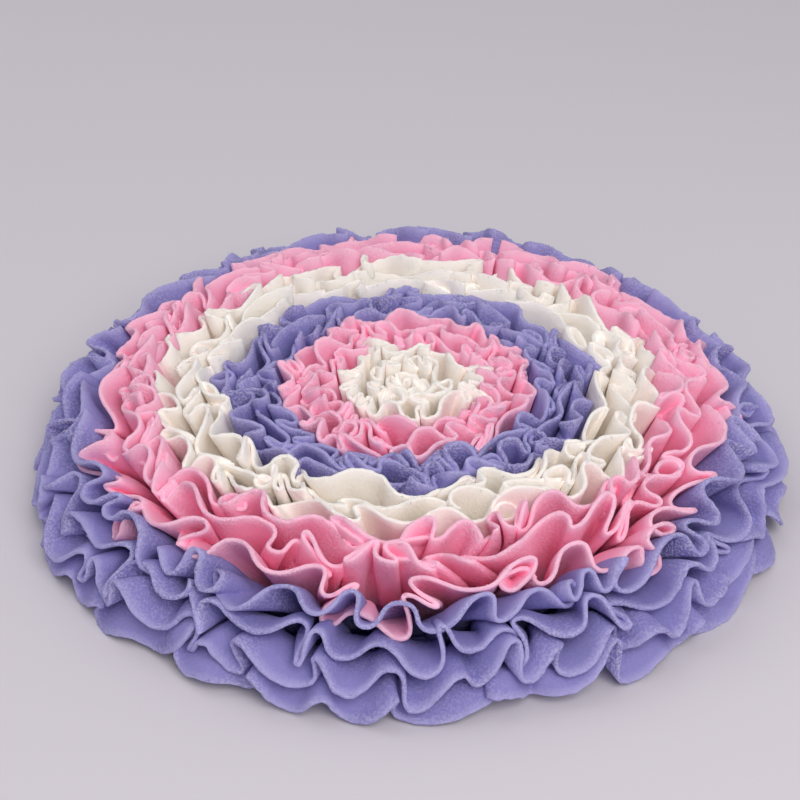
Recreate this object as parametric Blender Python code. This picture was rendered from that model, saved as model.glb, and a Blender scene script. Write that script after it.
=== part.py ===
"""A round snuffle mat: gathered fleece strips sewn in closed rings on a backing disc.

Every strip stands on its sewing line. The ones at the middle stand upright and fill a rosette, and
each one further out leans more, until the last ring droops to the floor. The free edge of a strip is
longer than its sewing line, so it waves, and food is hidden in the pockets between the waves.

Metres, +Z up. The origin is the centre of the underside.
"""

import math
from collections import namedtuple

import bpy
import numpy as np

# Backing disc.
BACKING_RADIUS = 0.211
BACKING_THICKNESS = 0.003
BACKING_SIDES = 72

# Fleece strips.
FLEECE_THICKNESS = 0.0022
SEAT_GAP = 0.0003  # between the sewn edge of a strip and the backing

# One row for each strip, from the middle outwards.
# sewn_radius: radius of the sewing line. edge_radius, edge_height: where the free edge runs on average.
# folds: waves round the ring. depth: how far the deepest wave swings to each side of the average.
# turn: degrees that the waves are turned round the mat. Strips that lie against each other have the
# same number of folds and nearly the same turn, so that they nest.
# belly: how far the strip bulges up and inwards from the straight line between its two edges.
# rows: faces from the sewn edge to the free edge.
Strip = namedtuple("Strip", "name colour sewn_radius edge_radius edge_height folds depth turn belly rows")
MM = 0.001
STRIPS = [
    Strip("cream_core", "cream", 5 * MM, 8 * MM, 63 * MM, 3, 3.0 * MM, 20, 0, 1),
    Strip("cream_middle", "cream", 15 * MM, 24 * MM, 65 * MM, 6, 4.8 * MM, 70, 0, 1),
    Strip("cream_collar", "cream", 27 * MM, 41 * MM, 65 * MM, 9, 5.0 * MM, 10, 0, 1),
    Strip("pink_inner_1", "pink", 38 * MM, 54 * MM, 64 * MM, 16, 4.2 * MM, 0, 0, 1),
    Strip("pink_inner_2", "pink", 49 * MM, 64 * MM, 65 * MM, 16, 6.0 * MM, 0.8, 0, 1),
    Strip("pink_inner_3", "pink", 60 * MM, 76 * MM, 64 * MM, 16, 6.8 * MM, 1.6, 0, 1),
    Strip("lilac_inner_1", "lilac", 71 * MM, 88 * MM, 64 * MM, 16, 7.2 * MM, 2.4, 0, 1),
    Strip("lilac_inner_2", "lilac", 82 * MM, 100 * MM, 65 * MM, 16, 7.2 * MM, 3.2, 0, 1),
    Strip("lilac_inner_3", "lilac", 93 * MM, 112 * MM, 64 * MM, 16, 5.4 * MM, 3.8, 0, 1),
    Strip("cream_outer_1", "cream", 104 * MM, 126 * MM, 64 * MM, 24, 5.0 * MM, 0, 0, 1),
    Strip("cream_outer_2", "cream", 116 * MM, 140 * MM, 65 * MM, 24, 7.5 * MM, 0.5, 0, 1),
    Strip("cream_outer_3", "cream", 128 * MM, 154 * MM, 65 * MM, 24, 9.0 * MM, 1, 0, 1),
    Strip("pink_outer_1", "pink", 140 * MM, 168 * MM, 64 * MM, 24, 9.5 * MM, 1.5, 0, 1),
    Strip("pink_outer_2", "pink", 151 * MM, 182 * MM, 62 * MM, 24, 9.5 * MM, 2, 0, 1),
    Strip("pink_outer_3", "pink", 162 * MM, 197 * MM, 59 * MM, 24, 9.5 * MM, 2.5, 3 * MM, 2),
    Strip("lilac_outer_1", "lilac", 173 * MM, 213 * MM, 54 * MM, 24, 9.0 * MM, 3, 6 * MM, 2),
    Strip("lilac_outer_2", "lilac", 184 * MM, 226 * MM, 42 * MM, 24, 8.5 * MM, 3.5, 9 * MM, 2),
    Strip("lilac_outer_3", "lilac", 194 * MM, 235 * MM, 26 * MM, 24, 7.5 * MM, 4, 12 * MM, 2),
    Strip("lilac_outer_4", "lilac", 204 * MM, 240 * MM, 10 * MM, 24, 6.0 * MM, 4.5, 12 * MM, 2),
]
COLUMNS_PER_FOLD = 5

GROWTH = 1.3  # a wave grows from the sewn edge to the free edge as this power of the way up
OVERHANG = 0.035  # how far the flanks of a wave lean in over its hollow, as a share of its length

# Unevenness: slow swells round the mat, the same for all strips, so that they still nest.
DEPTH_SWELL = 0.45  # the shallowest wave is this share shallower than the deepest
WIDTH_SWELL = 0.35  # how far a wave is shifted along the ring, in radians of its own length
HEIGHT_SWELL = 2.5 * MM  # how far the free edge rises and sinks
REACH_SWELL = 2.5 * MM  # how far the free edge moves out and in

COLOURS = {  # linear red, green, blue
    "cream": (0.78, 0.74, 0.62),
    "pink": (0.86, 0.33, 0.47),
    "lilac": (0.22, 0.22, 0.58),
    "backing": (0.22, 0.22, 0.58),
}
FLEECE_ROUGHNESS = 0.95


def clear_scene():
    for obj in list(bpy.data.objects):
        bpy.data.objects.remove(obj)


def fleece(name):
    material = bpy.data.materials.new("fleece_" + name)
    material.use_nodes = True
    shader = material.node_tree.nodes["Principled BSDF"]
    shader.inputs["Base Color"].default_value = (*COLOURS[name], 1)
    shader.inputs["Roughness"].default_value = FLEECE_ROUGHNESS
    shader.inputs["Metallic"].default_value = 0
    return material


def add_object(name, points, faces, material):
    mesh = bpy.data.meshes.new(name)
    mesh.from_pydata([tuple(p) for p in points], [], faces)
    mesh.materials.append(material)
    mesh.shade_smooth()
    obj = bpy.data.objects.new(name, mesh)
    bpy.context.scene.collection.objects.link(obj)
    return obj


def strip_surface(strip):
    """The middle of the cloth as an array [column, row, xyz].

    The profile runs from the sewn edge to the free edge as a quadratic curve that bulges by the belly.
    The wave moves each point along the normal of that profile, so an upright strip waves sideways and
    a drooping one waves up and down. It grows from nothing at the sewn edge.
    """
    columns = strip.folds * COLUMNS_PER_FOLD
    around = np.arange(columns) / columns * 2 * math.pi
    up = np.linspace(0, 1, strip.rows + 1)
    angle, share = np.meshgrid(around, up, indexing="ij")

    start = np.array([strip.sewn_radius, BACKING_THICKNESS + SEAT_GAP])
    end = np.array([strip.edge_radius, strip.edge_height])
    across = np.array([start[1] - end[1], end[0] - start[0]]) / np.linalg.norm(end - start)
    middle = (start + end) / 2 + 2 * strip.belly * across
    radius = (1 - share) ** 2 * start[0] + 2 * share * (1 - share) * middle[0] + share**2 * end[0]
    height = (1 - share) ** 2 * start[1] + 2 * share * (1 - share) * middle[1] + share**2 * end[1]
    slope_r = 2 * (1 - share) * (middle[0] - start[0]) + 2 * share * (end[0] - middle[0])
    slope_z = 2 * (1 - share) * (middle[1] - start[1]) + 2 * share * (end[1] - middle[1])
    length = np.hypot(slope_r, slope_z)

    turned = angle - math.radians(strip.turn)
    phase = strip.folds * turned + WIDTH_SWELL * np.sin(3 * turned + 1) + WIDTH_SWELL * np.sin(5 * turned)
    swell = 1 - DEPTH_SWELL * (2 + np.sin(4 * turned + 2) + np.sin(7 * turned)) / 4
    wave = strip.depth * share**GROWTH * swell * np.sin(phase)
    radius = radius + wave * slope_z / length + REACH_SWELL * share * np.sin(3 * angle + 2)
    height = height - wave * slope_r / length + HEIGHT_SWELL * share * np.sin(2 * angle + 1)
    lean = (radius[:, 1] - radius[:, 0]) / np.hypot(radius[:, 1] - radius[:, 0], height[:, 1] - height[:, 0])
    height[:, 0] += FLEECE_THICKNESS / 2 * abs(lean)  # the cut edge of a leaning strip dips below its middle
    angle = angle - OVERHANG * 2 * math.pi / strip.folds * share * np.sin(2 * phase)
    return np.stack([radius * np.cos(angle), radius * np.sin(angle), height], axis=-1)


def add_strip(strip, material):
    surface = strip_surface(strip)
    columns, points = surface.shape[:2]
    faces = []
    for column in range(columns):
        here, ahead = column * points, (column + 1) % columns * points
        faces += [(here + r, ahead + r, ahead + r + 1, here + r + 1) for r in range(points - 1)]
    obj = add_object(strip.name, surface.reshape(-1, 3), faces, material)
    wall = obj.modifiers.new("fleece", "SOLIDIFY")
    wall.thickness = FLEECE_THICKNESS
    wall.offset = 0
    return obj


def add_backing(material):
    turns = [2 * math.pi * side / BACKING_SIDES for side in range(BACKING_SIDES)]
    rim = [(BACKING_RADIUS * math.cos(a), BACKING_RADIUS * math.sin(a)) for a in turns]
    points = [(x, y, 0) for x, y in rim] + [(x, y, BACKING_THICKNESS) for x, y in rim]
    sides = [
        (a, (a + 1) % BACKING_SIDES, (a + 1) % BACKING_SIDES + BACKING_SIDES, a + BACKING_SIDES)
        for a in range(BACKING_SIDES)
    ]
    underside = tuple(reversed(range(BACKING_SIDES)))
    top = tuple(range(BACKING_SIDES, 2 * BACKING_SIDES))
    return add_object("backing", points, [underside, top, *sides], material)


clear_scene()
materials = {name: fleece(name) for name in COLOURS}
add_backing(materials["backing"])
for strip in STRIPS:
    add_strip(strip, materials[strip.colour])
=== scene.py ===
"""A round snuffle mat: nineteen strips of fleece, gathered and sewn in rings on a round felt backing.

Metres, +Z up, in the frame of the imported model.
"""

import math
from collections import namedtuple

import bpy
import numpy as np
from mathutils import Matrix, Vector


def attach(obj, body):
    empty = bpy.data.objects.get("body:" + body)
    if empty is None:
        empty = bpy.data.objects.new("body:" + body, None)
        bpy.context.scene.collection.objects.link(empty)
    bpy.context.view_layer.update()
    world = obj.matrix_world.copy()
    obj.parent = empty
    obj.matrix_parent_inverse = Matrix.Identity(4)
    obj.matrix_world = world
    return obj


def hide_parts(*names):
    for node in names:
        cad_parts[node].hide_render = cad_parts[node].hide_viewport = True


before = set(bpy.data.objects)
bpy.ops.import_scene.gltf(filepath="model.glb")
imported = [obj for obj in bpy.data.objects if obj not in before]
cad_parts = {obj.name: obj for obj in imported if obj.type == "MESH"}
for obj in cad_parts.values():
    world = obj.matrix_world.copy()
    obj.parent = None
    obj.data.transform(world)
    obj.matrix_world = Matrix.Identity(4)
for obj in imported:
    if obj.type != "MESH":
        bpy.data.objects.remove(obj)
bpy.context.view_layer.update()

# ---- The felt backing ----------------------------------------------------------------------------
# A disc of lilac needled polyester felt, 3 mm thick and cut with a die. Every ruffle is sewn to it, and
# underneath the seams show as rings of lockstitch in lilac thread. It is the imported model's own disc.
MM = 0.001
FELT_DEEP, FELT_BODY, THREAD_LILAC = "#6F6BB2", "#918DCB", "#C4C0E6"
# Felt is dull and matted, with short fibres lying all ways. They are drawn at 1.2 mm because real ones are
# too fine to show, and the needling leaves the felt denser in places about 12 mm across.
FELT_FIBRE, FELT_MOTTLE, FELT_RELIEF = 1.2 * MM, 12 * MM, 0.5 * MM
FELT_SHADES = (0.1, 0.45)  # fibre times mottle, at the deep colour and at the body colour
FIRST_SEAM, SEAM_SPACING = 5 * MM, 11.06 * MM  # even rings, up to 2.3 mm off the sewn edges of the ruffles
THREAD, STITCH = 0.8 * MM, 4 * MM  # width of the thread, length of a stitch
STITCH_GAP = 0.2  # share of a stitch where the thread is down in the felt
SEAM_REACH, SEAM_DIP = 2 * MM, -1.5  # how far to each side a seam pulls the felt in, and its relief there
FULL_TURN = 2 * math.pi


def linear(colour):
    """Linear red, green, blue and alpha of an sRGB hex colour."""
    values = [int(colour[i:i + 2], 16) / 255 for i in (1, 3, 5)]
    return [v / 12.92 if v <= 0.04045 else ((v + 0.055) / 1.055) ** 2.4 for v in values] + [1]


def add_node(tree, kind, settings=None, **inputs):
    """Adds a node with its settings. An input is given by its name, or by its number as in _2, and is linked
    where it is given a socket."""
    node = tree.nodes.new(kind)
    for name, value in (settings or {}).items():
        setattr(node, name, value)
    for name, value in inputs.items():
        socket = node.inputs[int(name[1:]) if name[0] == "_" else name.replace("_", " ")]
        if isinstance(value, bpy.types.NodeSocket):
            tree.links.new(value, socket)
        else:
            socket.default_value = value
    return node


def needled_felt():
    """Colour follows fine fibre noise times a coarser mottle, and relief the fibre noise. Thread lies where
    the distance to the nearest ring of stitches is under half its width, and where the way round that ring,
    counted in stitches, is past the gap. The felt dips towards each ring."""
    material = bpy.data.materials.new("lilac_needled_felt")
    material.use_nodes = True
    tree = material.node_tree
    shader = tree.nodes["Principled BSDF"]
    place = add_node(tree, "ShaderNodeTexCoord").outputs["Object"]
    fibre = add_node(tree, "ShaderNodeTexNoise", Vector=place, Scale=1 / FELT_FIBRE, Detail=4.0,
                     Roughness=0.7)
    mottle = add_node(tree, "ShaderNodeTexNoise", Vector=place, Scale=1 / FELT_MOTTLE, Detail=2.0)
    both = add_node(tree, "ShaderNodeMath", {"operation": "MULTIPLY"}, _0=fibre.outputs[0],
                    _1=mottle.outputs[0])
    shade = add_node(tree, "ShaderNodeMapRange", _0=both.outputs[0], _1=FELT_SHADES[0], _2=FELT_SHADES[1],
                     _3=0.0, _4=1.0)
    felt = add_node(tree, "ShaderNodeMix", {"data_type": "RGBA"}, _0=shade.outputs[0],
                    _6=linear(FELT_DEEP), _7=linear(FELT_BODY))

    x, y = add_node(tree, "ShaderNodeSeparateXYZ", Vector=place).outputs[:2]
    x_squared = add_node(tree, "ShaderNodeMath", {"operation": "MULTIPLY"}, _0=x, _1=x)
    y_squared = add_node(tree, "ShaderNodeMath", {"operation": "MULTIPLY"}, _0=y, _1=y)
    squared = add_node(tree, "ShaderNodeMath", {"operation": "ADD"}, _0=x_squared.outputs[0],
                       _1=y_squared.outputs[0])
    radius = add_node(tree, "ShaderNodeMath", {"operation": "SQRT"}, _0=squared.outputs[0])
    past_first = add_node(tree, "ShaderNodeMath", {"operation": "SUBTRACT"}, _0=radius.outputs[0],
                          _1=FIRST_SEAM)
    seam = add_node(tree, "ShaderNodeMath", {"operation": "DIVIDE"}, _0=past_first.outputs[0],
                    _1=SEAM_SPACING)
    nearest = add_node(tree, "ShaderNodeMath", {"operation": "ROUND"}, _0=seam.outputs[0])
    past_seam = add_node(tree, "ShaderNodeMath", {"operation": "SUBTRACT"}, _0=seam.outputs[0],
                         _1=nearest.outputs[0])
    off_seam = add_node(tree, "ShaderNodeMath", {"operation": "ABSOLUTE"}, _0=past_seam.outputs[0])
    distance = add_node(tree, "ShaderNodeMath", {"operation": "MULTIPLY"}, _0=off_seam.outputs[0],
                        _1=SEAM_SPACING)
    on_seam = add_node(tree, "ShaderNodeMath", {"operation": "LESS_THAN"}, _0=distance.outputs[0],
                       _1=THREAD / 2)

    seam_radius = add_node(tree, "ShaderNodeMath", {"operation": "MULTIPLY_ADD"}, _0=nearest.outputs[0],
                           _1=SEAM_SPACING, _2=FIRST_SEAM)
    ring_length = add_node(tree, "ShaderNodeMath", {"operation": "MULTIPLY"}, _0=seam_radius.outputs[0],
                           _1=FULL_TURN / STITCH)
    stitches = add_node(tree, "ShaderNodeMath", {"operation": "ROUND"}, _0=ring_length.outputs[0])
    angle = add_node(tree, "ShaderNodeMath", {"operation": "ARCTAN2"}, _0=y, _1=x)
    way_round = add_node(tree, "ShaderNodeMath", {"operation": "DIVIDE"}, _0=angle.outputs[0], _1=FULL_TURN)
    counted = add_node(tree, "ShaderNodeMath", {"operation": "MULTIPLY"}, _0=way_round.outputs[0],
                       _1=stitches.outputs[0])
    through = add_node(tree, "ShaderNodeMath", {"operation": "FRACT"}, _0=counted.outputs[0])
    past_gap = add_node(tree, "ShaderNodeMath", {"operation": "GREATER_THAN"}, _0=through.outputs[0],
                        _1=STITCH_GAP)
    thread = add_node(tree, "ShaderNodeMath", {"operation": "MULTIPLY"}, _0=on_seam.outputs[0],
                      _1=past_gap.outputs[0])
    sewn = add_node(tree, "ShaderNodeMix", {"data_type": "RGBA"}, _0=thread.outputs[0], _6=felt.outputs[2],
                    _7=linear(THREAD_LILAC))

    dip = add_node(tree, "ShaderNodeMapRange", {"interpolation_type": "SMOOTHSTEP"}, _0=distance.outputs[0],
                   _1=0.0, _2=SEAM_REACH, _3=SEAM_DIP, _4=0.0)
    dipped = add_node(tree, "ShaderNodeMath", {"operation": "ADD"}, _0=fibre.outputs[0], _1=dip.outputs[0])
    relief = add_node(tree, "ShaderNodeMath", {"operation": "ADD"}, _0=dipped.outputs[0],
                      _1=thread.outputs[0])
    bump = add_node(tree, "ShaderNodeBump", Strength=0.6, Distance=FELT_RELIEF, Height=relief.outputs[0])
    tree.links.new(sewn.outputs[2], shader.inputs["Base Color"])
    tree.links.new(bump.outputs[0], shader.inputs["Normal"])
    shader.inputs["Roughness"].default_value = 0.95
    shader.inputs["Specular IOR Level"].default_value = 0.1
    shader.inputs["Sheen Weight"].default_value = 0.3
    return material


FELT = needled_felt()
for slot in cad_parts["backing"].material_slots:
    slot.material = FELT

# ---- The cream rosette ---------------------------------------------------------------------------
# Three ruffles at the middle. Each is a strip of polyester fleece about 6 cm wide and much longer than its
# ring, cut with scissors and not hemmed. One edge is gathered and sewn down, and the free edge meanders.

# Millimetres. sewn_radius, edge_radius, edge_height, belly: the mean course from the backing to the free
# edge. gather: the free edge's length over its ring's. fold: length of ring that one fold takes.
# swing: room of a fold to each side. step: cloth between two columns. follow: how far the strip follows its
# neighbours' folds. spread: its own folds, shortest and longest. bunched: how unevenly it is gathered.
# cut: the strip's width and length when it lies flat, which are those of the finished ruffle, rounded.
Strip = namedtuple("Strip", "node sewn_radius edge_radius edge_height belly gather fold swing step follow "
                            "spread bunched cut")
# Where a strip leans out further than elsewhere: angle and width in degrees, out and down in millimetres.
Lean = namedtuple("Lean", "node angle width out down")
ROWS = 8  # points from the sewn edge to the free edge
SEAT = 3.5  # height of the sewn edges, just above the backing
CREAM_ROSETTE = [
    Strip("cream_core", 5, 10, 61, 0, 3.5, 14, 6.5, 2.2, 1.2, (0.7, 2.0), 0.3, (60, 195)),
    Strip("cream_middle", 15, 23, 66, 0, 3.3, 15, 7, 2.3, 1.2, (0.7, 2.0), 0.3, (65, 430)),
    Strip("cream_collar", 27, 38, 66, 0, 2.9, 18, 7, 2.5, 1.2, (0.7, 2.0), 0.3, (66, 630)),
]
LEANS = [
    Lean("cream_collar", 22, 11, 16, 3),
    Lean("cream_collar", -12, 11, 14, 4),
    Lean("cream_collar", 123, 14, 16, 2),
]
SEWN = []  # each strip and its piece, from the middle outwards


def mean_course(strip, share):
    """Radius, height and slope of a quadratic curve from the sewn edge, where share is 0, to the free edge,
    where it is 1. The curve stands out from the straight line by the belly."""
    start = np.array([strip.sewn_radius, SEAT], float)
    end = np.array([strip.edge_radius, strip.edge_height], float)
    across = np.array([start[1] - end[1], end[0] - start[0]]) / np.linalg.norm(end - start)
    middle = (start + end) / 2 + 2 * strip.belly * across
    point = [(1 - share) ** 2 * a + 2 * share * (1 - share) * b + share**2 * c
             for a, b, c in zip(start, middle, end)]
    slope = [2 * (1 - share) * (b - a) + 2 * share * (c - b) for a, b, c in zip(start, middle, end)]
    length = np.hypot(*slope)
    return np.array([point[0], point[1], slope[0] / length, slope[1] / length])


# Pebbles of pile are about 1.5 mm across, and worn patches are 30 mm. The grain of the pile is drawn at
# 0.8 mm because its own fibres are too fine to show.
PEBBLE, GRAIN, PATCH, RELIEF = 1.5 * MM, 0.8 * MM, 30 * MM, 1.1 * MM
PEBBLE_DOME = (0.36, 0.66)  # noise at the foot and at the top of a pebble
GRAIN_HEIGHT = 0.6  # height of the grain over a pebble's
PATCH_EDGE = (0.38, 0.62)  # noise where the cloth is calm and where it is worn
CALM_PATCH = 0.25  # how far calm cloth has balled up, over worn
OUTER_FACE = 0.5  # how far the outer face has balled up, over the inner
# Painted shade and highlight: the colour follows the pile's height, darker in the hollows between pebbles
# and lighter on their tops, and lighter again towards the cut.
PILE_LEVEL, PAINTED_PILE_SHADE, PAINTED_CUT_LIGHT = 0.8, 0.55, 0.25  # pile at the body colour; strength of the painted shade of the pile and painted light at the cut
COLOUR_STOPS = (0.1, 0.5, 0.9)  # painted shade value at the deep, the body and the tip colour
FLEECE_GLOW = 3.5 * MM  # how far light travels in the cloth


def fleece(name, deep, body, tip, balled):
    """Polyester fleece: knitted, then brushed on both faces, so it is matt, with a soft glow at grazing
    angles, and light shines through one layer. The pile, above all the inner face's, has balled up into
    pebbles in patches, with painted highlight on top and painted shade between. It stands out past the cut,
    where a painted highlight lightens it. Relief and painted shade = (pebble domes + fine grain) x patches x
    how far the cloth has balled up."""
    material = bpy.data.materials.new(name)
    material.use_nodes = True
    tree = material.node_tree
    shader = tree.nodes["Principled BSDF"]
    place = add_node(tree, "ShaderNodeTexCoord").outputs["Object"]
    inner = add_node(tree, "ShaderNodeAttribute", {"attribute_name": "inner_face"}).outputs["Fac"]
    cut = add_node(tree, "ShaderNodeAttribute", {"attribute_name": "rim_highlight_and_crumbs"}).outputs["Fac"]
    pebble = add_node(tree, "ShaderNodeTexNoise", Vector=place, Scale=1 / PEBBLE, Detail=1.0, Roughness=0.4)
    grain = add_node(tree, "ShaderNodeTexNoise", Vector=place, Scale=1 / GRAIN, Detail=1.0)
    patch = add_node(tree, "ShaderNodeTexNoise", Vector=place, Scale=1 / PATCH, Detail=0.0)
    dome = add_node(tree, "ShaderNodeMapRange", {"interpolation_type": "SMOOTHSTEP"}, _0=pebble.outputs[0],
                    _1=PEBBLE_DOME[0], _2=PEBBLE_DOME[1], _3=0.0, _4=1.0)
    pile = add_node(tree, "ShaderNodeMath", {"operation": "MULTIPLY_ADD"}, _0=grain.outputs[0],
                    _1=GRAIN_HEIGHT, _2=dome.outputs[0])
    worn = add_node(tree, "ShaderNodeMapRange", _0=patch.outputs[0], _1=PATCH_EDGE[0], _2=PATCH_EDGE[1],
                    _3=CALM_PATCH, _4=1.0)
    faced = add_node(tree, "ShaderNodeMapRange", _0=inner, _1=0.0, _2=1.0, _3=OUTER_FACE * balled, _4=balled)
    rough = add_node(tree, "ShaderNodeMath", {"operation": "MULTIPLY"}, _0=worn.outputs[0],
                     _1=faced.outputs[0])
    # Painted shade and highlight: colour darker in the hollows between pebbles, lighter on their tops.
    level = add_node(tree, "ShaderNodeMath", {"operation": "SUBTRACT"}, _0=pile.outputs[0], _1=PILE_LEVEL)
    shade = add_node(tree, "ShaderNodeMath", {"operation": "MULTIPLY"}, _0=level.outputs[0],
                     _1=rough.outputs[0])
    shade = add_node(tree, "ShaderNodeMath", {"operation": "MULTIPLY_ADD"}, _0=shade.outputs[0],
                     _1=PAINTED_PILE_SHADE, _2=COLOUR_STOPS[1])
    # Painted highlight: the colour is lighter towards the cut, and lightest on the crumbs and tufts.
    shade = add_node(tree, "ShaderNodeMath", {"operation": "MULTIPLY_ADD"}, _0=cut, _1=PAINTED_CUT_LIGHT,
                     _2=shade.outputs[0])
    ramp = add_node(tree, "ShaderNodeValToRGB", _0=shade.outputs[0])
    stops = ramp.color_ramp.elements
    stops.new(COLOUR_STOPS[1])
    for stop, position, colour in zip(stops, COLOUR_STOPS, (deep, body, tip)):
        stop.position = position
        stop.color = linear(colour)
    bump = add_node(tree, "ShaderNodeBump", Strength=rough.outputs[0], Distance=RELIEF,
                    Height=pile.outputs[0])
    tree.links.new(ramp.outputs[0], shader.inputs["Base Color"])
    tree.links.new(bump.outputs[0], shader.inputs["Normal"])
    shader.inputs["Roughness"].default_value = 0.95
    shader.inputs["Specular IOR Level"].default_value = 0.1
    shader.inputs["Sheen Weight"].default_value = 0.25
    shader.inputs["Sheen Roughness"].default_value = 0.5
    shader.inputs["Sheen Tint"].default_value = linear(tip)
    shader.subsurface_method = "BURLEY"
    shader.inputs["Subsurface Weight"].default_value = 0.85
    shader.inputs["Subsurface Radius"].default_value = (1.0, 0.8, 0.85)
    shader.inputs["Subsurface Scale"].default_value = FLEECE_GLOW
    return material


def sew(strip, cloth):
    """Adds a ruffle in place of its plain strip. Its mesh is filled once all are pressed together."""
    mesh = bpy.data.meshes.new(strip.node + "_ruffle")
    mesh.materials.append(cloth)
    piece = bpy.data.objects.new(strip.node + "_ruffle", mesh)
    bpy.context.scene.collection.objects.link(piece)
    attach(piece, "root")
    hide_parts(strip.node)
    SEWN.append((strip, piece))


# Colours of each fleece: deep, for the painted shade between pebbles; body; and tip, for the painted
# highlights on pebble tops and at the cut, and for the sheen's tint.
CREAM_FLEECE = fleece("cream_polyester_fleece", "#F6ECE0", "#FBF5ED", "#FDFAF5", 0.35)
for strip in CREAM_ROSETTE:
    sew(strip, CREAM_FLEECE)

# ---- The inner pink ruffles ----------------------------------------------------------------------
# Three rings of the same fleece in candy pink, gathered tightly round the rosette. They stand upright, and
# the outermost shows its face at the front.
PINK_INNER = [
    Strip("pink_inner_1", 38, 53, 64, 0, 2.6, 18, 6.5, 2.6, 0.5, (0.7, 2.0), 0.3, (64, 800)),
    Strip("pink_inner_2", 49, 64, 65, 0, 2.6, 19, 6.8, 2.7, 0.5, (0.7, 2.0), 0.3, (66, 955)),
    Strip("pink_inner_3", 60, 76, 65, 0, 2.3, 23, 7.2, 2.9, 0.5, (0.7, 2.0), 0.3, (66, 995)),
]
LEANS += [
    Lean("pink_inner_2", -90, 40, 2, 0),
    Lean("pink_inner_3", -90, 40, 5, 0),
]
PINK_FLEECE = fleece("pink_polyester_fleece", "#FB9DC0", "#FDB4D2", "#FECFE2", 0.55)
for strip in PINK_INNER:
    sew(strip, PINK_FLEECE)

# ---- The inner lilac ruffles ---------------------------------------------------------------------
# Three rings in lilac, upright too, and squeezed together at the front between pink and cream. Dark cloth
# shows its pebbles and its fuzzy cuts more than the light ones do.
LILAC_INNER = [
    Strip("lilac_inner_1", 71, 88, 64, 0, 2.5, 22, 7.2, 3.0, 0.5, (0.7, 2.0), 0.3, (65, 1270)),
    Strip("lilac_inner_2", 82, 100, 65, 0, 2.5, 24, 7.5, 3.1, 0.5, (0.7, 2.0), 0.3, (66, 1425)),
    Strip("lilac_inner_3", 93, 112, 64, 0, 2.3, 27, 8, 3.3, 0.5, (0.7, 2.0), 0.3, (66, 1500)),
]
LEANS += [
    Lean("lilac_inner_2", -90, 40, -3, 0),
    Lean("lilac_inner_3", -90, 40, -8, 0),
    Lean("lilac_inner_3", 9, 7, 9, 3),
    Lean("lilac_inner_3", -177, 7, 8, 3),
]
LILAC_FLEECE = fleece("lilac_polyester_fleece", "#7872BB", "#948ECB", "#B9B4DF", 0.9)
for strip in LILAC_INNER:
    sew(strip, LILAC_FLEECE)

# ---- The outer cream ruffles ---------------------------------------------------------------------
# Three rings in cream with wider, rounder folds. Some of them lie over the pink beyond.
CREAM_OUTER = [
    Strip("cream_outer_1", 104, 126, 65, 0, 2.4, 28, 8, 3.5, 0.5, (0.7, 2.0), 0.3, (68, 1715)),
    Strip("cream_outer_2", 116, 140, 65, 0, 2.4, 30, 8.5, 3.7, 0.5, (0.7, 2.0), 0.3, (68, 1885)),
    Strip("cream_outer_3", 128, 154, 65, 0, 2.2, 32, 9, 3.8, 0.5, (0.7, 2.0), 0.3, (69, 1970)),
]
LEANS += [
    Lean("cream_outer_1", -90, 40, -10, -1),
    Lean("cream_outer_2", -90, 40, -10, 0),
    Lean("cream_outer_3", -90, 40, -10, 0),
    Lean("cream_outer_3", 173, 9, 16, 4),
    Lean("cream_outer_3", 5, 6, 8, 3),
]
for strip in CREAM_OUTER:
    sew(strip, CREAM_FLEECE)

# ---- The outer pink ruffles ----------------------------------------------------------------------
# Three rings in pink that begin to lean outwards. Single petals of the last flop over the lilac.
PINK_OUTER = [
    Strip("pink_outer_1", 140, 168, 65, 0, 2.8, 25, 8.5, 4.4, 0.5, (0.7, 1.9), 0.2, (70, 2590)),
    Strip("pink_outer_2", 151, 182, 63, 0, 2.7, 26, 8.5, 4.4, 0.5, (0.7, 1.9), 0.2, (70, 2705)),
    Strip("pink_outer_3", 162, 198, 58, 3, 2.5, 28, 9, 4.6, 0.4, (0.6, 1.9), 0.2, (68, 2770)),
]
LEANS += [
    Lean("pink_outer_1", -90, 40, -9, -1),
    Lean("pink_outer_2", -90, 40, -6, 0),
    Lean("pink_outer_1", 173, 9, 6, 0),
    Lean("pink_outer_2", 180, 35, -7, 0),
    Lean("pink_outer_3", 180, 35, -12, -2),
    Lean("pink_outer_3", -175, 5, 14, 8),
    Lean("pink_outer_3", -158, 5, 15, 10),
    Lean("pink_outer_3", -144, 5, 15, 12),
    Lean("pink_outer_3", -95, 6, 17, 13),
    Lean("pink_outer_3", -52, 6, 10, 8),
    Lean("pink_outer_3", -6, 5, 8, 6),
]
for strip in PINK_OUTER:
    sew(strip, PINK_FLEECE)

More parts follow.
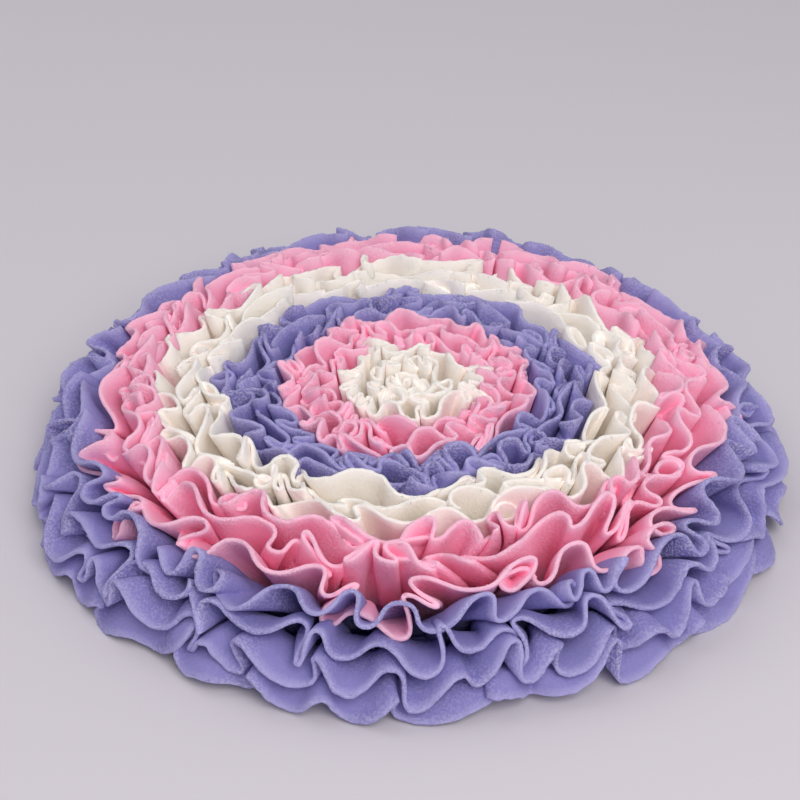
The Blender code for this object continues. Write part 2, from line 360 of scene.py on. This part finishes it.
# ---- The outer lilac ruffles ---------------------------------------------------------------------
# Four rings in lilac that droop over each other like skirts, down to the floor, and hide the backing. They
# are gathered less and unevenly, so broad calm petals stand between tight pleats.
LILAC_OUTER = [
    Strip("lilac_outer_1", 173, 214, 53, 6, 2.1, 36, 10, 4.7, 0.3, (0.5, 1.8), 0.3, (68, 2530)),
    Strip("lilac_outer_2", 184, 226, 40, 9, 2.0, 38, 10, 4.8, 0.3, (0.5, 1.8), 0.3, (62, 2630)),
    Strip("lilac_outer_3", 194, 235, 25, 12, 1.9, 42, 10, 4.8, 0.3, (0.5, 1.8), 0.3, (55, 2560)),
    Strip("lilac_outer_4", 204, 239, 9, 12, 1.75, 44, 8, 4.9, 0.3, (0.5, 1.8), 0.3, (46, 2425)),
]
LEANS += [
    Lean("lilac_outer_1", 90, 60, -2, -8),
    Lean("lilac_outer_2", 90, 60, -2, -8),
    Lean("lilac_outer_3", 90, 60, -2, -7),
    Lean("lilac_outer_4", 90, 50, 0, -3),
    Lean("lilac_outer_1", 180, 35, -6, -2),
    Lean("lilac_outer_2", 180, 35, -3, 0),
    Lean("lilac_outer_2", -90, 40, 3, 0),
    Lean("lilac_outer_3", -90, 40, 4, 0),
    Lean("lilac_outer_4", -90, 40, 4, 0),
]
for strip in LILAC_OUTER:
    sew(strip, LILAC_FLEECE)

# ---- Gathering, and pressing the ruffles together ------------------------------------------------
# The spare length of every strip buckles into folds. They press on their neighbours in the next ring, and
# flop over where nothing holds them. The middle surfaces of all the strips are worked out together, in
# millimetres, while the spare length is pushed in bit by bit.
BACKING_REACH = 213
CLEAR_OF_BACKING, CLEAR_OF_FLOOR = 4.8, 1.6  # least heights of the middle surfaces
SHARE = np.linspace(0, 1, ROWS)  # how far up the strip each row is
FREE = (SHARE > 0).astype(float)  # 0 for the sewn row, which doesn't move
NOT_NOTHING = 1e-9  # keeps a division by a length from failing

SEED = 21
FOLDS_ROUND = 38  # folds that neighbouring rings share
OWN_SWING, SIDEWAYS = 3.2, 4.0  # first unevenness of the course
WIDEST, NORMAL_FOLD, FOLD_POWER = 1.25, 30, 0.6  # longer folds start wider, by this power of their length
GATHER_WAVES, GATHER_SPREAD, SHARED_GATHER = 9, (0.5, 1.7), 0.3  # waves of tight and loose gathering
LEAST_SPARE, MOST_SPARE = 0.3, 2.0
RISE, RISE_WAVES = 4, 14  # how far a course rises and sinks
SHIFT, COURSE_SPREAD = 3, (0.4, 1.8)  # how far it moves out and in, and how unlike its waves are
FULLNESS = 0.5  # the length of a row grows from the sewn edge as this power of the way up
UPRIGHT_SPARE = 1.05  # the width of the cloth over that of its mean course
ROOM_AT_SEAM = 0.25  # room of a fold at the sewn edge, over that at the free edge
WINDOW = 0.6  # half the stretch over which the mean keeps to the course, in folds

PUSHING_ROUNDS, SETTLING_ROUNDS = 200, 60
KEEPS_MOVING, COMES_TO_REST = 0.7, 0.4  # share of its motion that the cloth keeps, while pushed and later
SHIVER, SHIVERING = 0.05, 0.8  # how far points shake, and for what share of the pushing
STRETCH, SHEAR = 0.9, 0.2  # how fast the cloth takes its lengths and its square corners
BEND, WIDE_BEND, UPRIGHT_BEND = 0.2, 0.03, 0.08  # how fast sharp bends and wide ones are smoothed
PRESSED = 3.4  # how near the middles of two layers of fleece come
LOOK_FURTHER, LOOK_EVERY = 1.6, 5  # pairs of points this much further apart are watched, and found so often
CROWDING = 0.6  # how far the push of many touches is shared out
TO_COURSE = 0.22  # how fast the mean goes back to the course
HELD_BACK, HELD_POWER, HELD_MOST = 0.12, 3, 1.2  # how hard a fold is held back near the end of its room
PETAL_OUT, PETAL_DOWN = 0.06, 0.05  # how far a fold's free edge flops in each round
CUT_UNEVEN = 2.2  # how much wider and narrower than its mean width a strip was cut


def unevenness(around, ring, waves, draws, spread=(0.5, 1.6), count=22, drift=0.5):
    """Sum of sines round the ring, about 1 in root mean square. Each has a whole number of waves, near waves
    times a draw from the spread, and its phase drifts from ring to ring."""
    total = np.zeros_like(around)
    for _ in range(count):
        folds = max(2, round(waves * draws.uniform(*spread)))
        size, phase, step = draws.normal(), draws.uniform(0, FULL_TURN), draws.uniform(-drift, drift)
        total += size * np.sin(folds * around + phase + step * ring)
    return total / math.sqrt(count / 2)


def loosely_laid(strip, ring, around, draws):
    """The strip before its spare length is pushed in: its mean course, waved a little along the course's
    normal and swung sideways, in proportion to the way up. Each strip of the rosette has folds of its own,
    and all the others share theirs, with phases that drift from ring to ring."""
    angle, share = np.meshgrid(around, SHARE, indexing="ij")
    own_folds = FULL_TURN * strip.edge_radius / strip.fold
    folds, group = (own_folds, ring + 1) if strip in CREAM_ROSETTE else (FOLDS_ROUND, 0)
    size = min(WIDEST, (strip.fold / NORMAL_FOLD) ** FOLD_POWER)
    shared = np.random.default_rng(SEED * 100 + group)
    outwards = strip.follow * unevenness(around, ring, folds, shared)
    outwards += OWN_SWING * unevenness(around, 0, own_folds, draws, strip.spread)
    shared = np.random.default_rng(SEED * 100 + 50 + group)
    sideways = SIDEWAYS * unevenness(around, ring, folds, shared)
    sideways += OWN_SWING * unevenness(around, 0, own_folds, draws, strip.spread)
    radius, height, slope_r, slope_z = mean_course(strip, share)
    wave = size * share * outwards[:, None]
    angle = angle + size * share * sideways[:, None] / strip.edge_radius
    radius, height = radius + wave * slope_z, height - wave * slope_r
    return np.stack([radius * np.cos(angle), radius * np.sin(angle), height], axis=-1)


def uneven_course(strip, ring, around, draws):
    """The course under each column, as [column, quantity, row], and the column's share of the spare cloth.
    The course rises, sinks and shifts with slow waves, and moves by each lean times exp(-(angle off it / its
    width)^2). The spare cloth is 1 plus slow waves times how unevenly the strip is bunched."""
    gathers, shifts = (np.random.default_rng(SEED * 7 + n) for n in (1, 2))
    shared = unevenness(around, ring, GATHER_WAVES, gathers, GATHER_SPREAD, 12, 0.7)
    own = unevenness(around, 0, 12, draws, GATHER_SPREAD, 12)
    spare = np.clip(1 + strip.bunched * (SHARED_GATHER * shared + own), LEAST_SPARE, MOST_SPARE)
    rise = unevenness(around, 0, RISE_WAVES, draws, COURSE_SPREAD, 14)
    shift = unevenness(around, ring, GATHER_WAVES, shifts, COURSE_SPREAD, 14, 0.6)
    course = np.repeat(mean_course(strip, SHARE)[None], len(around), 0)
    course[:, 1] += RISE * rise[:, None] * SHARE
    course[:, 0] += SHIFT * min(1, strip.edge_radius / 100) * shift[:, None] * SHARE**1.5
    for lean in LEANS:
        if lean.node == strip.node:
            off = (np.degrees(around) - lean.angle + 180) % 360 - 180
            swell = np.exp(-((off / lean.width) ** 2))
            course[:, 0] += lean.out * swell[:, None] * SHARE**2
            course[:, 1] -= lean.down * swell[:, None] * SHARE**2
    return course, spare


def near_pairs(points, reach, ring, column, columns):
    """Pairs of points nearer than reach. The points are sorted into cubes as wide as the reach, and each
    cube is compared with itself, the one above it, and three in each of four stacks beside it, so every pair
    comes up once. Pairs in neighbouring columns of one strip don't count."""
    cell = np.floor(points / reach).astype(np.int64)
    cell -= cell.min(0) - 1
    size = cell.max(0) + 2
    key = (cell[:, 0] * size[1] + cell[:, 1]) * size[2] + cell[:, 2]
    order = np.argsort(key, kind="stable")
    key = key[order]
    place = np.arange(len(key))
    first, second = [], []
    for dx, dy in ((0, 0), (0, 1), (1, -1), (1, 0), (1, 1)):
        shift = (dx * size[1] + dy) * size[2]
        low = np.searchsorted(key, key + shift - 1, "left") if shift else place + 1
        high = np.searchsorted(key, key + shift + 1, "right")
        count = np.maximum(high - low, 0)
        one = np.repeat(place, count)
        other = np.arange(len(one)) + np.repeat(low - np.cumsum(count) + count, count)
        first.append(order[one])
        second.append(order[other])
    first, second = np.concatenate(first), np.concatenate(second)
    apart = points[first] - points[second]
    near = np.einsum("ij,ij->i", apart, apart) < reach * reach
    first, second = first[near], second[near]
    gap = np.abs(column[first] - column[second])
    gap = np.minimum(gap, columns[first] - gap)
    keep = (ring[first] != ring[second]) | (gap > 1)
    return first[keep], second[keep]


def pull(a, b, rest, strength, weight_a=1.0, weight_b=1.0):
    """How far two points move to bring their distance nearer to rest, each in proportion to its weight."""
    apart = b - a
    length = np.sqrt(np.einsum("...i,...i->...", apart, apart)) + NOT_NOTHING
    return (strength * (length - rest) / length / (weight_a + weight_b))[..., None] * apart


def take_lengths(cloth, rest, upright, ahead):
    """Pulls neighbouring points to their lengths: along the strip, up the strip, and on both diagonals of
    each square. Every other pair goes first, so that no point is pulled two ways at once."""
    even, odd, after_odd = slice(0, None, 2), slice(1, None, 2), ahead[1::2]
    for low, high in ((even, odd), (odd, after_odd)):
        move = pull(cloth[low, 1:], cloth[high, 1:], rest[low, 1:], STRETCH)
        cloth[low, 1:] += move
        cloth[high, 1:] -= move
    for start in (0, 1):
        low, high = slice(start, ROWS - 1, 2), slice(start + 1, ROWS, 2)
        move = pull(cloth[:, low], cloth[:, high], upright, STRETCH, FREE[low], FREE[high])
        cloth[:, low] += move * FREE[low][:, None]
        cloth[:, high] -= move * FREE[high][:, None]
    slant = np.hypot((rest[:, 1:] + rest[:, :-1]) / 2, upright)
    for low, high in ((even, odd), (odd, after_odd)):
        for one, other in ((low, high), (high, low)):
            move = pull(cloth[one, :-1], cloth[other, 1:], slant[low], SHEAR, FREE[:-1], FREE[1:])
            cloth[one, :-1] += move * FREE[:-1, None]
            cloth[other, 1:] -= move


def smooth_bends(cloth, ahead, behind):
    """A point's bend is how far the middle of its neighbours lies from it. Along the strip a point moves by
    its bend less its neighbours' mean bend, for the next columns and for those two away, and up the strip by
    its bend."""
    for after, before, strength in ((ahead, behind, BEND), (ahead[ahead], behind[behind], WIDE_BEND)):
        bend = (cloth[after] + cloth[before]) / 2 - cloth
        cloth += strength * (bend - (bend[after] + bend[before]) / 2) * FREE[:, None]
    cloth[:, 1:-1] += UPRIGHT_BEND * ((cloth[:, :-2] + cloth[:, 2:]) / 2 - cloth[:, 1:-1])


def feeling_points(cloth):
    """The cloth's points above the sewn row, and those halfway between its rows, as [point, xyz]."""
    return np.concatenate([cloth[:, 1:], (cloth[:, 1:] + cloth[:, :-1]) / 2], axis=1).reshape(-1, 3)


def press_apart(cloth, points, near, nearby):
    """Each pair of points nearer than two pressed layers moves apart to that distance, half each. A point
    with many touches takes their sum over most of their number. A halfway point gives half its move to each
    row."""
    apart = points[near] - points[nearby]
    squared = np.einsum("ij,ij->i", apart, apart)
    touch = squared < PRESSED**2
    length = np.sqrt(squared[touch]) + NOT_NOTHING
    push = (0.5 * (PRESSED - length) / length)[:, None] * apart[touch]
    both, push = np.concatenate([near[touch], nearby[touch]]), np.concatenate([push, -push])
    touches = np.maximum(1, CROWDING * np.bincount(both, minlength=len(points)))
    move = np.stack([np.bincount(both, push[:, i], len(points)) for i in range(3)], -1)
    move = (move / touches[:, None]).reshape(len(cloth), -1, 3)
    cloth[:, 1:] += move[:, :ROWS - 1] + 0.5 * move[:, ROWS - 1:]
    cloth[:, 1:-1] += 0.5 * move[:, ROWS:]


def keep_to_course(cloth, course, first, window):
    """Moves the cloth out and up by its running mean distance from the course, taken over a fold or so."""
    radius = np.hypot(cloth[..., 0], cloth[..., 1])
    off = np.stack([course[:, 0] - radius, course[:, 1] - cloth[..., 2]], -1)
    for k, half in enumerate(window):
        mine = off[first[k]:first[k + 1]]
        half = min(half, len(mine) // 2 - 1)
        run = np.concatenate([np.zeros((1, ROWS, 2)), mine[-half:], mine, mine[:half]]).cumsum(0)
        mine[:] = (run[2 * half + 1:] - run[:-2 * half - 1]) / (2 * half + 1)
    off *= TO_COURSE * SHARE[:, None]
    cloth[..., :2] += (off[..., 0] / np.maximum(radius, 1))[..., None] * cloth[..., :2]
    cloth[..., 2] += off[..., 1]


def keep_in_room(cloth, course, swing):
    """A fold's distance out from its course, along the course's normal, is held back in proportion to itself
    and to the third power of its share of the room. Its free edge flops over the way that it stands out."""
    radius = np.hypot(cloth[..., 0], cloth[..., 1])
    out = (radius - course[:, 0]) * course[:, 3] - (cloth[..., 2] - course[:, 1]) * course[:, 2]
    over = HELD_BACK * out * np.minimum(HELD_MOST, np.abs(out) / swing) ** HELD_POWER * FREE
    petal = np.clip(out[:, -1:] / swing[:, -1:], -1, 1) * SHARE**3
    outwards = PETAL_OUT * petal - over * course[:, 3]
    cloth[..., :2] += (outwards / np.maximum(radius, 1))[..., None] * cloth[..., :2]
    cloth[..., 2] += over * course[:, 2] - PETAL_DOWN * np.abs(petal)


def gathered_courses(strips):
    """The middle surface of every strip, as an array [column, row, xyz] for each.

    The points of a grid are joined by lengths that grow from the ring's to the gathered strip's. Each round
    lets them move on, pulls the lengths right, smooths bends and presses layers apart. It then keeps either
    the mean over a fold on its course or each fold in its room, and all of the cloth above the backing and
    the floor.
    """
    draws = np.random.default_rng(SEED)
    columns = np.array([int(math.pi * s.edge_radius * s.gather / s.step) * 2 for s in strips])
    first = np.concatenate([[0], np.cumsum(columns)])
    rounds = [np.arange(count) / count * FULL_TURN for count in columns]
    cloth = np.concatenate([loosely_laid(s, k, rounds[k], draws) for k, s in enumerate(strips)])
    uneven = [uneven_course(s, k, rounds[k], draws) for k, s in enumerate(strips)]
    course, spare = (np.concatenate(part) for part in zip(*uneven))
    ring = np.repeat(np.arange(len(strips)), columns)
    column = np.arange(len(cloth)) - first[ring]
    ahead = first[ring] + (column + 1) % columns[ring]
    behind = first[ring] + (column - 1) % columns[ring]

    laid = np.linalg.norm(cloth[ahead] - cloth, axis=2)
    laid = np.array([laid[ring == k].mean(0) for k in range(len(strips))])[ring]
    means = np.array([mean_course(s, SHARE) for s in strips])
    circle = (FULL_TURN * means[:, 0] / columns[:, None])[ring]
    edge = (np.array([FULL_TURN * s.edge_radius * s.gather for s in strips]) / columns)[ring]
    gathered = circle + (edge - circle[:, -1])[:, None] * SHARE**FULLNESS * spare[:, None]
    gathered += (circle[:, -1:] - circle) * SHARE
    upright = np.array([np.hypot(np.diff(m[0]), np.diff(m[1])).sum() for m in means])
    upright = (upright / (ROWS - 1) * UPRIGHT_SPARE)[ring][:, None]
    swing = np.array([s.swing for s in strips])[ring][:, None] * (ROOM_AT_SEAM + (1 - ROOM_AT_SEAM) * SHARE)
    window = np.maximum(2, [int(WINDOW * s.fold * s.gather / s.step) for s in strips])

    owners = [np.repeat(owner, 2 * (ROWS - 1)) for owner in (ring, column, columns[ring])]
    before = cloth.copy()
    for turn in range(PUSHING_ROUNDS + SETTLING_ROUNDS):
        rest = laid + (gathered - laid) * min(1, turn / PUSHING_ROUNDS)
        motion = (cloth - before) * (KEEPS_MOVING if turn < PUSHING_ROUNDS else COMES_TO_REST)
        before = cloth.copy()
        cloth = cloth + motion * FREE[:, None]
        if turn < SHIVERING * PUSHING_ROUNDS:
            cloth[:, 1:] += draws.normal(0, SHIVER, cloth[:, 1:].shape)
        for _ in range(2):
            take_lengths(cloth, rest, upright, ahead)
        smooth_bends(cloth, ahead, behind)
        points = feeling_points(cloth)
        if turn % LOOK_EVERY == 0:
            near, nearby = near_pairs(points, PRESSED + LOOK_FURTHER, *owners)
        press_apart(cloth, points, near, nearby)
        if turn % 2 == 0:
            keep_to_course(cloth, course, first, window)
        else:
            keep_in_room(cloth, course, swing)
        radius = np.hypot(cloth[..., 0], cloth[..., 1])
        lowest = np.where(radius < BACKING_REACH, CLEAR_OF_BACKING, CLEAR_OF_FLOOR)
        cloth[:, 1:, 2] = np.maximum(cloth[:, 1:, 2], lowest[:, 1:])

    for k, strip in enumerate(strips):
        mine = slice(first[k], first[k + 1])
        wander = unevenness(rounds[k], 0, FULL_TURN * strip.edge_radius / strip.fold, draws)
        rise = cloth[mine, -1] - cloth[mine, -3]
        rise /= np.linalg.norm(rise, axis=1, keepdims=True)
        cloth[mine] += CUT_UNEVEN * (wander[:, None] * SHARE**2)[..., None] * rise[:, None]
    return [cloth[first[k]:first[k + 1]] for k in range(len(strips))]


COURSES = gathered_courses([strip for strip, piece in SEWN])

# ---- The cloth, its cuts and its fuzz ------------------------------------------------------------
# The fleece is about 2.4 mm thick with its pile. Its cut edges are rounded and wander with the scissors.
# Crumbs of balled pile cling to them, and tufts of loose fibre stand out.
THICKNESS = 2.4 * MM
CUT_ROUND = 0.7 * MM  # how far the rounded cut stands past the last row
CUT_PROFILE = [(0.75, 0.6), (0, 1), (-0.75, 0.6)]  # across, in half thicknesses, and out, in CUT_ROUND
CUT_WANDER = 0.4 * MM
FLOOR_GAP = 0.1 * MM
FINE_ROWS = np.linspace(0, 1, 10) ** 0.85  # finished rows, closer together near the free edge
EVENING = 0.3  # how far a column moves to the middle of its neighbours, twice
PAINTED_RIM_FROM = 0.94  # how far up the cloth the painted highlight towards its cut begins
CRUMBS_A_COLUMN, CRUMB = 0.45, (0.3 * MM, 0.7 * MM)
CRUMB_SPREAD, CRUMB_ABOVE = 1.2 * MM, 0.3 * MM  # how far below the cut crumbs cling, and how far above it
CRUMB_FACES = [(0, 2, 4), (2, 1, 4), (1, 3, 4), (3, 0, 4), (2, 0, 5), (1, 2, 5), (3, 1, 5), (0, 3, 5)]
CRUMB_CORNERS = [(1, 0, 0), (-1, 0, 0), (0, 1, 0), (0, -1, 0), (0, 0, 1), (0, 0, -1)]
TUFTS_A_COLUMN, TUFT, TUFT_ROOT = 1.2, (0.8 * MM, 2.1 * MM), 0.24 * MM
TUFT_ACROSS, TUFT_ALONG = 0.7, 0.8  # how far tufts lean, across the cut and along it
TUFT_SUNK = 0.3 * MM  # how deep their roots are in the cloth
TUFT_FACES = [(0, 1, 3), (1, 2, 3), (2, 0, 3), (0, 2, 1)]


def between(a, b, c, d, t):
    """The point at share t from b to c on the Catmull-Rom curve through a, b, c and d."""
    return 0.5 * (2 * b + (c - a) * t + (2 * a - 5 * b + 4 * c - d) * t**2 + (3 * b - a - 3 * c + d) * t**3)


def smooth_along(points, times):
    """Columns times as dense along a closed strip, on curves through the ones given."""
    a, b, c, d = (np.roll(points, n, 0) for n in (1, 0, -1, -2))
    made = [between(a, b, c, d, t) for t in np.arange(times) / times]
    return np.stack(made, 1).reshape((-1,) + points.shape[1:])


def smooth_up(points, shares):
    """Rows at the shares of the strip's width, on curves through the ones given. One more row is added
    before the first and after the last, straight on."""
    before, after = 2 * points[:, :1] - points[:, 1:2], 2 * points[:, -1:] - points[:, -2:-1]
    rows = np.concatenate([before, points, after], 1)
    last = points.shape[1] - 1
    at = np.clip(shares * last, 0, last - 1e-6)
    low = at.astype(int)
    a, b, c, d = (rows[:, low + n] for n in range(4))
    return between(a, b, c, d, (at - low)[None, :, None])


def unit(vectors):
    """The vectors over their lengths, which makes them 1 long."""
    return vectors / (np.linalg.norm(vectors, axis=-1, keepdims=True) + 1e-12)


def crumbs(cut, sideways, upwards, draws):
    """Points [crumb, 6, xyz] of uneven octahedra, stuck on the cut and just below it on either face."""
    count = int(len(cut) * CRUMBS_A_COLUMN)
    at = draws.integers(0, len(cut), count)
    size = draws.uniform(*CRUMB, count)
    below = np.abs(draws.normal(0, 1, (count, 1))) * CRUMB_SPREAD - CRUMB_ABOVE
    on_a_face = np.sign(draws.uniform(-1, 1, (count, 1))) / 2
    on_the_cut = draws.uniform(-0.5, 0.5, (count, 1))
    side = np.where(below > 0, on_a_face, on_the_cut)
    centre = cut[at] + sideways[at] * side * THICKNESS - upwards[at] * below
    centre += (np.roll(cut, -1, 0) - cut)[at] * draws.uniform(0, 1, (count, 1))
    corners = np.array(CRUMB_CORNERS, float) * draws.uniform(0.6, 1.3, (count, 6, 1))
    return centre[:, None] + size[:, None, None] * corners


def tufts(cut, sideways, upwards, draws):
    """Points [tuft, 4, xyz] of slim three-sided spikes that lean out of the cut in all directions."""
    count = int(len(cut) * TUFTS_A_COLUMN)
    at = draws.integers(0, len(cut), count)
    along = (np.roll(cut, -1, 0) - cut)[at]
    root = cut[at] + along * draws.uniform(0, 1, (count, 1))
    root += sideways[at] * draws.uniform(-1, 1, (count, 1)) * MM
    along = unit(along)
    lean = upwards[at] + sideways[at] * draws.normal(0, TUFT_ACROSS, (count, 1))
    lean += along * draws.normal(0, TUFT_ALONG, (count, 1))
    lean = unit(lean)
    tip = root + lean * draws.uniform(*TUFT, (count, 1))
    beside = unit(np.cross(lean, along))
    across = np.cross(lean, beside)
    turns = np.arange(3) * FULL_TURN / 3
    ring = np.cos(turns)[:, None] * beside[:, None] + np.sin(turns)[:, None] * across[:, None]
    return np.concatenate([(root - lean * TUFT_SUNK)[:, None] + TUFT_ROOT * ring, tip[:, None]], axis=1)


def cloth_section(course, draws):
    """The cloth's outline at each column, as [column, corner, xyz], with its cut and the directions across
    and out of the cut. Both faces lie half the thickness from the middle surface along its normal, and three
    points round off the cut that joins them. The cut wanders a little with the scissors."""
    for _ in range(2):
        course[:, 1:] += EVENING * ((np.roll(course, 1, 0) + np.roll(course, -1, 0)) / 2 - course)[:, 1:]
    middle = smooth_up(smooth_along(course, 2), FINE_ROWS)
    up = np.gradient(middle, axis=1)
    normal = unit(np.cross(np.roll(middle, -1, 0) - np.roll(middle, 1, 0), up))
    rise = unit(up[:, -1])
    wander = draws.normal(0, 1, len(middle))
    middle[:, -1] += rise * (CUT_WANDER * (wander + np.roll(wander, 1)) / 2)[:, None]
    cut, sideways, half = middle[:, -1], normal[:, -1], THICKNESS / 2
    rounded = [cut + sideways * half * side + rise * CUT_ROUND * reach for side, reach in CUT_PROFILE]
    rounded = np.stack(rounded, 1)
    section = np.concatenate([middle + normal * half, rounded, (middle - normal * half)[:, ::-1]], 1)
    return section, cut, sideways, rise


def fill_mesh(mesh, points, quads, triangles):
    """Puts the points and faces into an empty mesh, shaded smooth."""
    mesh.vertices.add(len(points))
    mesh.vertices.foreach_set("co", points.astype(np.float32).ravel())
    loops = np.concatenate([quads.ravel(), triangles.ravel()])
    starts = np.concatenate([np.arange(quads.size // 4) * 4, quads.size + np.arange(len(triangles)) * 3])
    mesh.loops.add(len(loops))
    mesh.loops.foreach_set("vertex_index", loops.astype(np.int32))
    mesh.polygons.add(len(starts))
    mesh.polygons.foreach_set("loop_start", starts.astype(np.int32))
    mesh.update(calc_edges=True)
    mesh.shade_smooth()


def finish_ruffle(piece, ring, course):
    """Fills the ruffle's mesh with the cloth, and with crumbs and tufts as closed lumps of their own. Its
    attributes say how near the cut a point is, for the painted highlight there, and whether it lies on the
    inner face."""
    draws = np.random.default_rng(500 + ring)
    section, cut, sideways, rise = cloth_section(course * MM, draws)
    columns, corners = section.shape[:2]
    start, corner = np.arange(columns)[:, None] * corners, np.arange(corners)[None]
    after, beyond = (start + corners) % (columns * corners), (corner + 1) % corners
    quads = np.stack([start + corner, start + beyond, after + beyond, after + corner], -1)
    points, triangles = [section.reshape(-1, 3)], []
    for lumps, faces in ((crumbs(cut, sideways, rise, draws), CRUMB_FACES),
                         (tufts(cut, sideways, rise, draws), TUFT_FACES)):
        start = sum(map(len, points)) + np.arange(len(lumps)) * lumps.shape[1]
        triangles.append((start[:, None, None] + np.array(faces)).reshape(-1, 3))
        points.append(lumps.reshape(-1, 3))
    points = np.concatenate(points)
    points[:, 2] = np.maximum(points[:, 2], FLOOR_GAP)
    fill_mesh(piece.data, points, quads, np.concatenate(triangles))

    rounded = len(CUT_PROFILE)
    height = np.concatenate([FINE_ROWS, np.ones(rounded), FINE_ROWS[::-1]])
    # Painted highlight at the cut: 0 below where it begins, rising to 1 at the cut.
    rim_highlight_and_crumbs = np.clip((height - PAINTED_RIM_FROM) / (1 - PAINTED_RIM_FROM), 0, 1)
    inner_face = np.concatenate([np.ones(len(FINE_ROWS)), [0.5] * rounded, np.zeros(len(FINE_ROWS))])
    # Crumbs and tufts take twice the cut's value. The crumbs are pale balls of pile, and the tufts get the
    # painted highlight.
    for name, values, on_lumps in (("rim_highlight_and_crumbs", rim_highlight_and_crumbs, 2.0), ("inner_face", inner_face, 0.5)):
        whole = np.full(len(points), on_lumps, np.float32)
        whole[:columns * corners] = np.tile(values, columns)
        piece.data.attributes.new(name, "FLOAT", "POINT").data.foreach_set("value", whole)


for ring, (strip, piece) in enumerate(SEWN):
    finish_ruffle(piece, ring, COURSES[ring])

# ---- The floor, the light and the camera ---------------------------------------------------------
# A pale dull studio floor, one large soft light beside the camera, a weaker one from behind on the left, and
# a bright even surround. Light has to bounce many times to reach the bottom of a pocket.
FLOOR_COLOUR, FLOOR_REACH = "#E0DAE1", 6.0
scene = bpy.context.scene


def plain_floor():
    """A square on the ground, FLOOR_REACH to each side, of matt painted board with hardly a sheen."""
    mesh = bpy.data.meshes.new("floor")
    corners = [(-1, -1), (1, -1), (1, 1), (-1, 1)]
    mesh.from_pydata([(x * FLOOR_REACH, y * FLOOR_REACH, 0) for x, y in corners], [], [(0, 1, 2, 3)])
    material = bpy.data.materials.new("pale_studio_floor")
    material.use_nodes = True
    shader = material.node_tree.nodes["Principled BSDF"]
    shader.inputs["Base Color"].default_value = linear(FLOOR_COLOUR)
    shader.inputs["Roughness"].default_value = 0.9
    shader.inputs["Specular IOR Level"].default_value = 0.2
    mesh.materials.append(material)
    floor = bpy.data.objects.new("floor", mesh)
    scene.collection.objects.link(floor)


def soft_light(name, place, size, power, colour):
    """A square light that faces the middle of the mat."""
    light = bpy.data.lights.new(name, "AREA")
    light.size = size
    light.energy = power
    light.color = linear(colour)[:3]
    lamp = bpy.data.objects.new(name, light)
    lamp.location = place
    lamp.rotation_euler = (-Vector(place)).to_track_quat("-Z", "Y").to_euler()
    scene.collection.objects.link(lamp)


plain_floor()
soft_light("key", (0.6, -1.5, 1.7), 1.5, 26, "#FFFDFA")
soft_light("back_fill", (-1.1, 0.7, 2.0), 1.8, 8, "#FAFAFF")
surround = bpy.data.worlds.new("studio")
surround.use_nodes = True
surround.node_tree.nodes["Background"].inputs["Color"].default_value = linear("#F7F7FB")
surround.node_tree.nodes["Background"].inputs["Strength"].default_value = 0.45
scene.world = surround
scene.view_settings.view_transform = "Standard"
scene.cycles.max_bounces = 12
scene.cycles.diffuse_bounces = 8

PIXELS = 800  # the frame's width and height
TILT = math.radians(33.5)  # how far down the camera looks
FOCAL_PIXELS = 1800  # focal length
DISTANCE = 1.143  # from the camera to the middle of the rosette's top, straight ahead
TOP_HEIGHT = 0.066
TOP_PIXEL = (408, 380)  # where the middle of the rosette lies in the frame
SENSOR = 36
towards = Vector((0, math.cos(TILT), -math.sin(TILT)))
right = Vector((1, 0, 0))
upward = right.cross(towards)
aside = (TOP_PIXEL[0] - PIXELS / 2) / FOCAL_PIXELS * DISTANCE
above = (PIXELS / 2 - TOP_PIXEL[1]) / FOCAL_PIXELS * DISTANCE
camera = bpy.data.objects.new("camera", bpy.data.cameras.new("camera"))
camera.data.sensor_width = SENSOR
camera.data.lens = FOCAL_PIXELS * SENSOR / PIXELS
eye = Vector((0, 0, TOP_HEIGHT)) - towards * DISTANCE - right * aside - upward * above
camera.matrix_world = Matrix.Translation(eye) @ Matrix((right, upward, -towards)).transposed().to_4x4()
scene.collection.objects.link(camera)
scene.camera = camera
